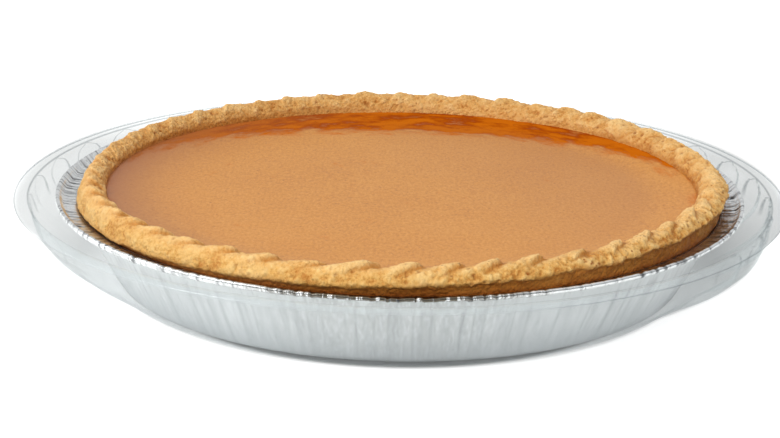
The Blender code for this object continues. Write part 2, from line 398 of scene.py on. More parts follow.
def crimpTree():
    # pinched rope edge: each crimp is a blade that climbs along the ring and drops off steeply,
    # leaning across the edge; then crumb, grain and open pits along the surface normal
    tree, given = newTree("crimpedEdge", [
        ("Crimps", "Float"), ("Lean Out", "Float"), ("Lean In", "Float"), ("Height", "Float"),
        ("Lump", "Float"), ("Crumb", "Float"), ("Grain", "Float"), ("Pit", "Float"),
        ("Seed", "Float"), ("Pastry", "Material")])
    read = {label: addNode(tree, "GeometryNodeInputNamedAttribute", {"data_type": "FLOAT"}, {0: label}).outputs[0]
            for label in ("turns", "across", "crumb", "pinch", "sharp")}
    place = addNode(tree, "GeometryNodeInputPosition").outputs[0]
    normal = addNode(tree, "GeometryNodeInputNormal").outputs[0]

    tear = addNode(tree, "ShaderNodeTexNoise", {"noise_dimensions": "4D"},
                   {"Vector": place, "W": given["Seed"], "Scale": 240.0, "Detail": 2.0}).outputs[0]
    tear = addNode(tree, "ShaderNodeMath", {"operation": "MULTIPLY_ADD"}, {0: tear, 1: 0.22, 2: 0.64}).outputs[0]
    outer = addNode(tree, "ShaderNodeMath", {"operation": "MAXIMUM"}, {0: read["across"], 1: 0.0}).outputs[0]
    inner = addNode(tree, "ShaderNodeMath", {"operation": "MINIMUM"}, {0: read["across"], 1: 0.0}).outputs[0]
    lean = addNode(tree, "ShaderNodeMath", {"operation": "ADD"}, {0: read["turns"], 1: tear}).outputs[0]
    lean = addNode(tree, "ShaderNodeMath", {"operation": "MULTIPLY_ADD"},
                   {0: outer, 1: given["Lean Out"], 2: lean}).outputs[0]
    lean = addNode(tree, "ShaderNodeMath", {"operation": "MULTIPLY_ADD"},
                   {0: inner, 1: given["Lean In"], 2: lean}).outputs[0]
    part = addNode(tree, "ShaderNodeMath", {"operation": "FRACT"}, {0: lean}).outputs[0]
    number = addNode(tree, "ShaderNodeMath", {"operation": "FLOOR"}, {0: lean}).outputs[0]
    number = addNode(tree, "ShaderNodeMath", {"operation": "FLOORED_MODULO"},
                     {0: number, 1: given["Crimps"]}).outputs[0]
    wave = addNode(tree, "ShaderNodeFloatCurve", {"curve": [
        (0.0, 0.0), (0.22, 0.22), (0.5, 0.70), (0.70, 0.96), (0.79, 1.0), (0.88, 0.70), (0.95, 0.12),
        (1.0, 0.0)]}, {1: part}).outputs[0]
    wave = addNode(tree, "ShaderNodeMath", {"operation": "POWER"}, {0: wave, 1: read["sharp"]}).outputs[0]
    luck = addNode(tree, "ShaderNodeTexWhiteNoise", {"noise_dimensions": "2D"}, {
        "Vector": addNode(tree, "ShaderNodeCombineXYZ", inputs={0: number, 1: given["Seed"]}).outputs[0]}).outputs[0]
    luck = addNode(tree, "ShaderNodeMapRange", inputs={0: luck, 3: 0.66, 4: 1.16}).outputs[0]
    wave = addNode(tree, "ShaderNodeMath", {"operation": "MULTIPLY"}, {0: wave, 1: luck}).outputs[0]
    swell = addNode(tree, "ShaderNodeMath", {"operation": "MULTIPLY"}, {0: wave, 1: read["pinch"]}).outputs[0]
    rise = addNode(tree, "ShaderNodeMath", {"operation": "MULTIPLY"}, {0: swell, 1: given["Height"]}).outputs[0]
    step = addNode(tree, "ShaderNodeVectorMath", {"operation": "SCALE"}, {0: normal, "Scale": rise}).outputs[0]
    shaped = addNode(tree, "GeometryNodeSetPosition", inputs={0: given["Geometry"], "Offset": step}).outputs[0]

    # where one blade tucks under the next: the mask for the painted shade of that crease
    tuck = addNode(tree, "ShaderNodeFloatCurve", {"curve": [
        (0.0, 0.9), (0.10, 0.25), (0.25, 0.0), (0.80, 0.0), (0.88, 0.30), (0.95, 1.0), (1.0, 1.0)]},
        {1: part}).outputs[0]
    tuck = addNode(tree, "ShaderNodeMath", {"operation": "MULTIPLY"}, {0: tuck, 1: read["pinch"]}).outputs[0]

    lump = addNode(tree, "ShaderNodeTexNoise", {"noise_dimensions": "4D"},
                   {"Vector": place, "W": given["Seed"], "Scale": 185.0, "Detail": 1.0}).outputs[0]
    lump = addNode(tree, "ShaderNodeMapRange", inputs={0: lump, 1: 0.3, 2: 0.7, 3: -0.5, 4: 0.5}).outputs[0]
    lump = addNode(tree, "ShaderNodeMath", {"operation": "MULTIPLY"}, {0: lump, 1: given["Lump"]}).outputs[0]
    crumb = addNode(tree, "ShaderNodeTexVoronoi", {"voronoi_dimensions": "4D"},
                    {"Vector": place, "W": given["Seed"], "Scale": 430.0, "Randomness": 1.0}).outputs[0]
    crumb = addNode(tree, "ShaderNodeMapRange", inputs={0: crumb, 1: 0.1, 2: 0.75, 3: 0.5, 4: -0.5}).outputs[0]
    crumb = addNode(tree, "ShaderNodeMath", {"operation": "MULTIPLY"}, {0: crumb, 1: given["Crumb"]}).outputs[0]
    grain = addNode(tree, "ShaderNodeTexNoise", {"noise_dimensions": "4D"},
                    {"Vector": place, "W": given["Seed"], "Scale": 640.0, "Detail": 2.0}).outputs[0]
    grain = addNode(tree, "ShaderNodeMapRange", inputs={0: grain, 1: 0.3, 2: 0.7, 3: -0.5, 4: 0.5}).outputs[0]
    grain = addNode(tree, "ShaderNodeMath", {"operation": "MULTIPLY"}, {0: grain, 1: given["Grain"]}).outputs[0]
    rough = addNode(tree, "ShaderNodeMath", {"operation": "ADD"}, {0: lump, 1: crumb}).outputs[0]
    rough = addNode(tree, "ShaderNodeMath", {"operation": "ADD"}, {0: rough, 1: grain}).outputs[0]
    rough = addNode(tree, "ShaderNodeMath", {"operation": "MULTIPLY"}, {0: rough, 1: read["crumb"]}).outputs[0]
    bulge = addNode(tree, "ShaderNodeMath", {"operation": "DIVIDE"}, {0: rough, 1: given["Lump"]}).outputs[0]

    pore = addNode(tree, "ShaderNodeTexVoronoi", {"voronoi_dimensions": "3D"},
                   {"Vector": place, "Scale": 300.0, "Randomness": 1.0}).outputs[0]
    pore = addNode(tree, "ShaderNodeMapRange", {"interpolation_type": "SMOOTHSTEP"},
                   {0: pore, 1: 0.10, 2: 0.36, 3: 1.0, 4: 0.0}).outputs[0]
    rare = addNode(tree, "ShaderNodeTexNoise", {"noise_dimensions": "3D"},
                   {"Vector": place, "Scale": 150.0, "Detail": 1.0}).outputs[0]
    rare = addNode(tree, "ShaderNodeMapRange", inputs={0: rare, 1: 0.47, 2: 0.58}).outputs[0]
    pore = addNode(tree, "ShaderNodeMath", {"operation": "MULTIPLY"}, {0: pore, 1: rare}).outputs[0]
    pore = addNode(tree, "ShaderNodeMath", {"operation": "MULTIPLY"}, {0: pore, 1: read["crumb"]}).outputs[0]
    hole = addNode(tree, "ShaderNodeMath", {"operation": "MULTIPLY"}, {0: pore, 1: given["Pit"]}).outputs[0]
    rough = addNode(tree, "ShaderNodeMath", {"operation": "SUBTRACT"}, {0: rough, 1: hole}).outputs[0]
    nudge = addNode(tree, "ShaderNodeVectorMath", {"operation": "SCALE"}, {0: normal, "Scale": rough}).outputs[0]

    for label, value in (("blade", swell), ("tuck", tuck), ("bulge", bulge), ("pore", pore)):
        shaped = addNode(tree, "GeometryNodeStoreNamedAttribute", {"data_type": "FLOAT", "domain": "POINT"},
                         {0: shaped, "Name": label, "Value": value}).outputs[0]
    shaped = addNode(tree, "GeometryNodeSetPosition", inputs={0: shaped, "Offset": nudge}).outputs[0]
    shaped = addNode(tree, "GeometryNodeRealizeInstances", inputs={0: shaped}).outputs[0]
    shaped = addNode(tree, "GeometryNodeSetMaterial", inputs={0: shaped, "Material": given["Pastry"]}).outputs[0]
    addNode(tree, "NodeGroupOutput", inputs={0: shaped})
    return tree


def pastryMaterial(settings):
    # baked shortcrust: dry and matt with a little butter sheen, golden, painted pale where it is raised
    # (painted light), orange in the hollows, creases and pits (painted shade) and brown down the side
    material, tree = newMaterial("bakedShortcrust")
    place = addNode(tree, "ShaderNodeTexCoord").outputs["Object"]
    read = {label: addNode(tree, "ShaderNodeAttribute", {"attribute_name": label}).outputs["Fac"]
            for label in ("toast", "blade", "tuck", "bulge", "pore", "crumb", "across")}
    patch = addNode(tree, "ShaderNodeTexNoise", inputs={
        "Vector": place, "Scale": 65.0, "Detail": 3.0, "Roughness": 0.6}).outputs[0]     # 15 mm patches
    fleck = addNode(tree, "ShaderNodeTexNoise", inputs={
        "Vector": place, "Scale": 800.0, "Detail": 4.0, "Roughness": 0.75}).outputs[0]   # 1.2 mm mottle
    tone = addNode(tree, "ShaderNodeMath", {"operation": "MULTIPLY_ADD"}, {0: patch, 1: 1.1, 2: -0.53}).outputs[0]
    tone = addNode(tree, "ShaderNodeMath", {"operation": "MULTIPLY_ADD"}, {0: fleck, 1: 1.3, 2: tone}).outputs[0]
    tone = addNode(tree, "ShaderNodeMath", {"operation": "SUBTRACT"}, {0: tone, 1: 0.10}).outputs[0]
    # painted light and shade: raised lumps and the climbing crimp blades paler, hollows toward toasted
    tone = addNode(tree, "ShaderNodeMath", {"operation": "MULTIPLY_ADD"}, {0: read["bulge"], 1: 0.46, 2: tone}).outputs[0]
    tone = addNode(tree, "ShaderNodeMath", {"operation": "MULTIPLY_ADD"}, {0: read["blade"], 1: 0.36, 2: tone}).outputs[0]
    color = addNode(tree, "ShaderNodeValToRGB", {"stops": [
        (0.08, settings["toasted"]), (0.42, settings["golden"]), (0.95, settings["pale"])]}, {0: tone}).outputs[0]
    # handled tops baked to beige, the outer face stayed yellow
    top = addNode(tree, "ShaderNodeMapRange", {"interpolation_type": "SMOOTHSTEP"},
                  {0: read["across"], 1: 0.15, 2: 0.6, 3: 1.0, 4: 0.0}).outputs[0]
    top = addNode(tree, "ShaderNodeMath", {"operation": "MULTIPLY"}, {0: top, 1: 0.5}).outputs[0]
    color = addNode(tree, "ShaderNodeMix", {"data_type": "RGBA", "blend_type": "MULTIPLY"},
                    {0: top, 6: color, 7: srgb(settings["beige"])}).outputs[2]
    # painted shade: the crease where one blade tucks under the next, in toasted colour
    tuck = addNode(tree, "ShaderNodeMath", {"operation": "MULTIPLY", "use_clamp": True}, {0: read["tuck"], 1: 0.92}).outputs[0]
    color = addNode(tree, "ShaderNodeMix", {"data_type": "RGBA"}, {0: tuck, 6: color, 7: srgb(settings["toasted"])}).outputs[2]
    # painted shade down in the open pits
    pore = addNode(tree, "ShaderNodeMath", {"operation": "MULTIPLY", "use_clamp": True}, {0: read["pore"], 1: 0.85}).outputs[0]
    color = addNode(tree, "ShaderNodeMix", {"data_type": "RGBA"}, {0: pore, 6: color, 7: srgb(settings["brown"])}).outputs[2]
    # dark dots painted as the shade of pin holes, here and there in little groups
    pin = addNode(tree, "ShaderNodeTexVoronoi", inputs={"Vector": place, "Scale": 430.0}).outputs[0]
    pin = addNode(tree, "ShaderNodeMapRange", inputs={0: pin, 1: 0.12, 2: 0.26, 3: 1.0, 4: 0.0}).outputs[0]
    group = addNode(tree, "ShaderNodeTexNoise", inputs={"Vector": place, "Scale": 130.0, "Detail": 1.0}).outputs[0]
    group = addNode(tree, "ShaderNodeMapRange", inputs={0: group, 1: 0.53, 2: 0.62, 4: 0.8}).outputs[0]
    pin = addNode(tree, "ShaderNodeMath", {"operation": "MULTIPLY"}, {0: pin, 1: group}).outputs[0]
    pin = addNode(tree, "ShaderNodeMath", {"operation": "MULTIPLY"}, {0: pin, 1: read["crumb"]}).outputs[0]
    color = addNode(tree, "ShaderNodeMix", {"data_type": "RGBA"}, {0: pin, 6: color, 7: srgb(settings["brown"])}).outputs[2]
    bake = addNode(tree, "ShaderNodeMath", {"operation": "MULTIPLY_ADD"}, {0: fleck, 1: 0.5, 2: -0.25}).outputs[0]
    bake = addNode(tree, "ShaderNodeMath", {"operation": "MULTIPLY_ADD"}, {0: patch, 1: 0.6, 2: bake}).outputs[0]
    bake = addNode(tree, "ShaderNodeMath", {"operation": "SUBTRACT"}, {0: bake, 1: 0.3}).outputs[0]
    bake = addNode(tree, "ShaderNodeMath", {"operation": "ADD"}, {0: read["toast"], 1: bake}).outputs[0]
    light = addNode(tree, "ShaderNodeMapRange", inputs={0: bake, 1: 0.08, 2: 0.42}).outputs[0]
    color = addNode(tree, "ShaderNodeMix", {"data_type": "RGBA"}, {0: light, 6: color, 7: srgb(settings["toasted"])}).outputs[2]
    deep = addNode(tree, "ShaderNodeMapRange", inputs={0: bake, 1: 0.38, 2: 0.66}).outputs[0]
    color = addNode(tree, "ShaderNodeMix", {"data_type": "RGBA"}, {0: deep, 6: color, 7: srgb(settings["brown"])}).outputs[2]
    burnt = addNode(tree, "ShaderNodeMapRange", inputs={0: bake, 1: 0.72, 2: 1.0}).outputs[0]
    color = addNode(tree, "ShaderNodeMix", {"data_type": "RGBA"}, {0: burnt, 6: color, 7: srgb(settings["dark"])}).outputs[2]
    crack = addNode(tree, "ShaderNodeTexVoronoi", inputs={"Vector": place, "Scale": 620.0}).outputs[0]  # 1.6 mm crumbs
    relief = addNode(tree, "ShaderNodeMath", {"operation": "MULTIPLY_ADD"}, {0: crack, 1: -0.9, 2: fleck}).outputs[0]
    bump = addNode(tree, "ShaderNodeBump", inputs={"Strength": 0.9, "Distance": 1.0 * mm, "Height": relief}).outputs[0]
    shader = addNode(tree, "ShaderNodeBsdfPrincipled", inputs={
        "Base Color": color, "Roughness": 0.62, "Specular IOR Level": 0.35, "Normal": bump})
    addNode(tree, "ShaderNodeOutputMaterial", inputs={0: shader.outputs[0]})
    return material


def rimDrift(angle, settings):
    # how far the baked edge sits off its circle, all the way round
    out = -0.25 * mm + 0.35 * mm * np.cos(angle)
    return out + settings["wander"] * (np.sin(3 * angle + 0.6) + 0.6 * np.sin(7 * angle + 2.0))


def makeCrust(settings):
    rim = softLine(settings["rim"], settings["spacing"])
    plain = lambda points: np.column_stack([points, np.zeros((len(points), 5))])
    rows = np.vstack([plain(settings["inside"][:-1]), rim, plain(settings["outside"][1:])])
    rows[:, :2] *= mm
    mesh = turnedMesh("bakedCrust", rows[::-1], settings["steps"], ("toast", "crumb", "across", "pinch", "lip"))
    angle = readValues(mesh, "angle")
    turns = (angle - settings["firstCrest"]) / math.tau * settings["crimps"]
    # hands never pinch evenly: slow drifts, and one early run at the left front
    turns += 0.10 * np.sin(5 * angle + 1.0) + 0.08 * np.sin(11 * angle + 2.5)
    turns += 0.22 * np.exp(-((angle + math.radians(118)) / math.radians(16)) ** 2)
    layer = mesh.attributes.new("turns", "FLOAT", "POINT")
    layer.data.foreach_set("value", turns.astype(np.float32))
    # painted shade: the dough is darker at the foot of its inner slope, beside the custard, at the left and the right
    seamShade = np.clip(1 - (readValues(mesh, "across") + 1.2) / 0.7, 0, 1)
    share = 0.55 * np.clip(np.cos(angle - math.radians(160)), 0, 1) ** 1.5
    share += 0.35 * np.clip(np.cos(angle - math.radians(10)), 0, 1) ** 2
    wall = np.clip((readValues(mesh, "across") - 1) / 0.2, 0, 1)
    toast = readValues(mesh, "toast") + seamShade * share
    across = readValues(mesh, "across")
    toast += 0.10 * np.clip(1 - np.abs(across - 0.65) / 0.35, 0, 1) * np.clip(np.cos(angle - 0.3), 0, 1)
    toast -= 0.24 * np.clip(-across - 0.6, 0, 0.5) / 0.5 * np.clip(np.sin(angle), 0, 1)
    # painted light: the side wall is lighter at the right front
    toast -= 0.16 * wall * np.clip(np.cos(angle - math.radians(-20)), 0, 1)
    mesh.attributes["toast"].data.foreach_set("value", toast.astype(np.float32))
    # they press hardest at the near right and least at the far side
    far = np.clip(np.sin(angle), 0, 1)
    smooth = np.clip(-np.cos(angle - math.radians(8)), 0, 1) ** 0.6
    outer = np.clip(readValues(mesh, "across") / 0.35, 0, 1)
    layer = mesh.attributes["crumb"]
    coarse = readValues(mesh, "crumb") * (1 + 0.4 * np.abs(np.cos(angle))) * (1 - 0.6 * smooth * outer)
    layer.data.foreach_set("value", coarse.astype(np.float32))
    press = 0.72 + 0.26 * np.cos(angle - math.radians(-55)) - 0.08 * far ** 2
    layer = mesh.attributes.new("sharp", "FLOAT", "POINT")
    layer.data.foreach_set("value", (1 + 4.0 * far ** 0.5).astype(np.float32))
    press *= 1 - 0.75 * smooth * outer
    layer = mesh.attributes["pinch"]
    layer.data.foreach_set("value", (press * readValues(mesh, "pinch")).astype(np.float32))

    co = readPoints(mesh)
    lip = readValues(mesh, "lip")
    swing = np.cos(angle - settings["lipAt"]) - math.cos(math.radians(-90) - settings["lipAt"])
    ripple = 0.45 * np.sin(23 * angle + 1.0) + 0.35 * np.sin(37 * angle + 4.0)
    co[:, 2] += lip * (settings["lipDrop"] * swing + ripple * mm * (0.3 + 0.7 * np.clip(np.cos(angle), 0, 1)))
    standing = np.clip((co[:, 2] - 35.4 * mm) / (3.4 * mm), 0, 1)
    away = np.abs((angle - settings["liftAt"] + np.pi) % (2 * np.pi) - np.pi) / math.radians(70)
    ease = np.clip(1 - away, 0, 1)
    out = rimDrift(angle, settings) * standing
    out -= settings["leftIn"] * np.clip(readValues(mesh, "across"), 0, 1) * np.clip(-np.cos(angle), 0, 1) ** 2
    co[:, 0] += out * np.cos(angle)
    co[:, 1] += out * np.sin(angle)
    co[:, 2] += standing * settings["lift"] * ease * ease * (3 - 2 * ease)
    co[:, 2] += standing * settings["farLift"] * np.clip(np.sin(angle), 0, 1)
    movePoints(mesh, co)

    material = pastryMaterial(settings)
    mesh = moved(mesh, "bakedCrust", crimpTree(), {
        "Crimps": float(settings["crimps"]), "Lean Out": settings["leanOut"], "Lean In": settings["leanIn"],
        "Height": settings["height"], "Lump": settings["lump"], "Crumb": settings["crumb"],
        "Grain": settings["grain"], "Pit": settings["pit"], "Seed": 7.0, "Pastry": material})
    placePiece(mesh, "bakedCrust", material, "pie_crust")
    print("crust:", len(mesh.polygons), "faces")


# filling

filling = {
    "steps": 720,
    "spacing": 1.6,
    # radius, height, band (0 flat top, 1 the glossy climbing edge), edge (1 follows the crust)
    "top": [(0, 36.6, 0, 0), (40, 36.6, 0, 0), (80, 36.7, 0, 0), (104, 36.9, 0, 0), (112, 37.2, 0.25, 0.2),
            (118, 37.9, 0.7, 0.5), (125, 38.7, 1, 0.8), (132.0, 39.5, 1, 1)],
    "below": [(131.2, 37.8, 1, 1), (114.9, 7.2, 0, 0), (0, 7.2, 0, 0)],
    "custard": "#c48231",
    "pale": "#cf9044",
    "brown": "#b3712a",
    "deep": "#bd620c",
    "burnt": "#963c06",
    "spice": "#8a4a18",
    # painted shade, toward the left edge beside the crust and in a band on the right
    "dusk": "#9c6038",        # duller, toward the left edge
    "ripple": 0.5 * mm,
}


def custardTree():
    # the skin of the set custard: long soft ripples, and short ones near the crust
    tree, given = newTree("custardSkin", [("Ripple", "Float"), ("Seed", "Float"), ("Custard", "Material")])
    band = addNode(tree, "GeometryNodeInputNamedAttribute", {"data_type": "FLOAT"}, {0: "band"}).outputs[0]
    place = addNode(tree, "GeometryNodeInputPosition").outputs[0]
    long = addNode(tree, "ShaderNodeTexNoise", {"noise_dimensions": "4D"},
                   {"Vector": place, "W": given["Seed"], "Scale": 26.0, "Detail": 2.0}).outputs[0]
    long = addNode(tree, "ShaderNodeMath", {"operation": "SUBTRACT"}, {0: long, 1: 0.5}).outputs[0]
    short = addNode(tree, "ShaderNodeTexNoise", {"noise_dimensions": "4D"},
                    {"Vector": place, "W": given["Seed"], "Scale": 150.0, "Detail": 2.0}).outputs[0]
    short = addNode(tree, "ShaderNodeMath", {"operation": "SUBTRACT"}, {0: short, 1: 0.5}).outputs[0]
    share = addNode(tree, "ShaderNodeMapRange", inputs={0: band, 3: 0.16, 4: 0.9}).outputs[0]
    rise = addNode(tree, "ShaderNodeMath", {"operation": "MULTIPLY_ADD"}, {0: short, 1: share, 2: long}).outputs[0]
    rise = addNode(tree, "ShaderNodeMath", {"operation": "MULTIPLY"}, {0: rise, 1: given["Ripple"]}).outputs[0]
    step = addNode(tree, "ShaderNodeCombineXYZ", inputs={2: rise}).outputs[0]
    shaped = addNode(tree, "GeometryNodeSetPosition", inputs={0: given["Geometry"], "Offset": step}).outputs[0]
    shaped = addNode(tree, "GeometryNodeRealizeInstances", inputs={0: shaped}).outputs[0]
    shaped = addNode(tree, "GeometryNodeSetMaterial", inputs={0: shaped, "Material": given["Custard"]}).outputs[0]
    addNode(tree, "NodeGroupOutput", inputs={0: shaped})
    return tree


def custardMaterial(settings):
    # set pumpkin custard: fine spiced puree with a skin that dried in the oven, satin, deeper
    # and shinier in the band that climbs to the crust
    material, tree = newMaterial("bakedPumpkinCustard")
    place = addNode(tree, "ShaderNodeTexCoord").outputs["Object"]
    band = addNode(tree, "ShaderNodeAttribute", {"attribute_name": "band"}).outputs["Fac"]
    cloud = addNode(tree, "ShaderNodeTexNoise", inputs={
        "Vector": place, "Scale": 22.0, "Detail": 2.0, "Roughness": 0.5}).outputs[0]     # 45 mm clouds
    poured = addNode(tree, "ShaderNodeVectorMath", {"operation": "MULTIPLY"}, {0: place, 1: (1, 0.5, 1)}).outputs[0]
    puree = addNode(tree, "ShaderNodeTexNoise", inputs={
        "Vector": poured, "Scale": 760.0, "Detail": 4.0, "Roughness": 0.75}).outputs[0]  # 1.3 mm puree grain
    around = addNode(tree, "ShaderNodeVectorMath", {"operation": "NORMALIZE"}, {0: place}).outputs[0]
    away = addNode(tree, "ShaderNodeVectorMath", {"operation": "LENGTH"}, {0: place}).outputs["Value"]
    reach = addNode(tree, "ShaderNodeCombineXYZ", inputs={2: away}).outputs[0]
    along = addNode(tree, "ShaderNodeVectorMath", {"operation": "MULTIPLY_ADD"},
                    {0: reach, 1: (0, 0, 22.0), 2: around}).outputs[0]
    streak = addNode(tree, "ShaderNodeTexNoise", inputs={
        "Vector": along, "Scale": 7.5, "Detail": 5.0, "Roughness": 0.62}).outputs[0]     # 5 by 16 mm streaks
    tone = addNode(tree, "ShaderNodeMath", {"operation": "MULTIPLY_ADD"}, {0: cloud, 1: 0.14, 2: -0.02}).outputs[0]
    tone = addNode(tree, "ShaderNodeMath", {"operation": "MULTIPLY_ADD"}, {0: puree, 1: 0.95, 2: tone}).outputs[0]
    color = addNode(tree, "ShaderNodeValToRGB", {"stops": [
        (0.36, settings["brown"]), (0.52, settings["custard"]), (0.70, settings["pale"])]}, {0: tone}).outputs[0]
    edge = addNode(tree, "ShaderNodeMath", {"operation": "MULTIPLY_ADD"}, {0: streak, 1: 4.2, 2: -2.1}).outputs[0]
    edge = addNode(tree, "ShaderNodeMath", {"operation": "ADD"}, {0: band, 1: edge}).outputs[0]
    edge = addNode(tree, "ShaderNodeMapRange", {"interpolation_type": "SMOOTHSTEP"}, {0: edge, 1: -0.5, 2: 0.7}).outputs[0]
    glaze = addNode(tree, "ShaderNodeValToRGB", {"stops": [
        (0.40, settings["burnt"]), (0.56, settings["deep"])]}, {0: streak}).outputs[0]
    color = addNode(tree, "ShaderNodeMix", {"data_type": "RGBA"}, {0: edge, 6: color, 7: glaze}).outputs[2]
    # painted shade: darker toward the left edge and in a band on the right
    dusk = addNode(tree, "ShaderNodeAttribute", {"attribute_name": "dusk"}).outputs["Fac"]
    color = addNode(tree, "ShaderNodeMix", {"data_type": "RGBA"}, {0: dusk, 6: color, 7: srgb(settings["dusk"])}).outputs[2]
    spice = addNode(tree, "ShaderNodeTexVoronoi", inputs={"Vector": place, "Scale": 240.0}).outputs[0]
    spice = addNode(tree, "ShaderNodeMapRange", inputs={0: spice, 1: 0.06, 2: 0.15, 3: 0.6, 4: 0.0}).outputs[0]
    color = addNode(tree, "ShaderNodeMix", {"data_type": "RGBA"}, {0: spice, 6: color, 7: srgb(settings["spice"])}).outputs[2]
    sheen = addNode(tree, "ShaderNodeMapRange", inputs={0: band, 3: 0.46, 4: 0.34}).outputs[0]
    gloss = addNode(tree, "ShaderNodeMapRange", inputs={0: edge, 3: 0.54, 4: 0.0}).outputs[0]
    bump = addNode(tree, "ShaderNodeBump", inputs={"Strength": 0.5, "Distance": 0.35 * mm, "Height": puree}).outputs[0]
    shader = addNode(tree, "ShaderNodeBsdfPrincipled", inputs={
        "Base Color": color, "Roughness": sheen, "IOR": 1.40, "Specular IOR Level": gloss, "Normal": bump})
    addNode(tree, "ShaderNodeOutputMaterial", inputs={0: shader.outputs[0]})
    return material


def makeFilling(settings):
    top = softLine(settings["top"], settings["spacing"])
    rows = np.vstack([top, settings["below"]])
    rows[:, :2] *= mm
    mesh = turnedMesh("pumpkinCustard", rows[::-1], settings["steps"], ("band", "edge"))
    angle = readValues(mesh, "angle")
    edge = readValues(mesh, "edge")
    band = readValues(mesh, "band")
    co = readPoints(mesh)
    # the climbing band is wide at the back and narrow at the front
    reach = np.hypot(co[:, 0], co[:, 1]) / mm
    inner = 133 - 33 * np.clip(np.cos(angle - math.radians(87)), 0, 1) ** 1.5
    band = np.where(reach > 90, np.clip((reach - inner) / 9, -1, 1), -1)
    mesh.attributes["band"].data.foreach_set("value", band.astype(np.float32))
    # painted shade: toward the left edge, where the crust shades the custard, and in a band on the right
    dusk = np.clip((reach - 84) / 46, 0, 1) ** 2 * np.clip(-np.cos(angle - math.radians(-8)), 0, 1) ** 2
    right = np.clip((reach - 20) / 90, 0, 1) * np.clip((120 - reach) / 14, 0, 1)
    dusk += 0.32 * right * np.clip(np.cos(angle - math.radians(25)), 0, 1)
    layer = mesh.attributes.new("dusk", "FLOAT", "POINT")
    layer.data.foreach_set("value", dusk.astype(np.float32))
    out = rimDrift(angle, crust) * edge
    co[:, 0] += out * np.cos(angle)
    co[:, 1] += out * np.sin(angle)
    movePoints(mesh, co)
    material = custardMaterial(settings)
    mesh = moved(mesh, "pumpkinCustard", custardTree(), {
        "Ripple": settings["ripple"], "Seed": 5.0, "Custard": material})
    placePiece(mesh, "pumpkinCustard", material, "pumpkin_filling")
    print("filling:", len(mesh.polygons), "faces")


# foil pan

pan = {
    "steps": 1152,
    "spacing": 1.2,
    # radius, height, pleat (how deep the pleating is there)
    "line": [(0, 2.6, 0), (110, 2.6, 0), (123.6, 2.7, 0), (126.6, 4.2, 0.1), (134, 18, 0.15),
             (141.2, 33.4, 0.2), (142.8, 34.8, 0.6), (146.0, 35.2, 1), (148.8, 35.9, 1),
             (150.2, 37.0, 1), (151.3, 37.7, 1), (152.2, 37.5, 1), (152.4, 36.8, 1),
             (151.6, 36.2, 0.7), (150.2, 35.9, 0.8), (146.2, 34.6, 1), (143.2, 34.0, 0.6),
             (141.7, 32.8, 0.2), (134.5, 17.8, 0.15), (127.1, 3.9, 0.1), (124.0, 2.2, 0), (110, 2.1, 0),
             (0, 2.1, 0)],
    "pleats": 132.0,
    "depth": 0.62 * mm,
    "crease": 0.05 * mm,
    "fat": 0.85,              # how much taller the bead is away from the front
    "beadMiddle": 36.5 * mm,
    "bright": "#cbcdcd",
    "dull": "#b9bbbc",
    "rim": "#e9eaea",
    "foldShade": "#2e3236",
    "slate": "#6c655a",
    "topShade": "#c9cccc",
    "low": "#999da0",
}


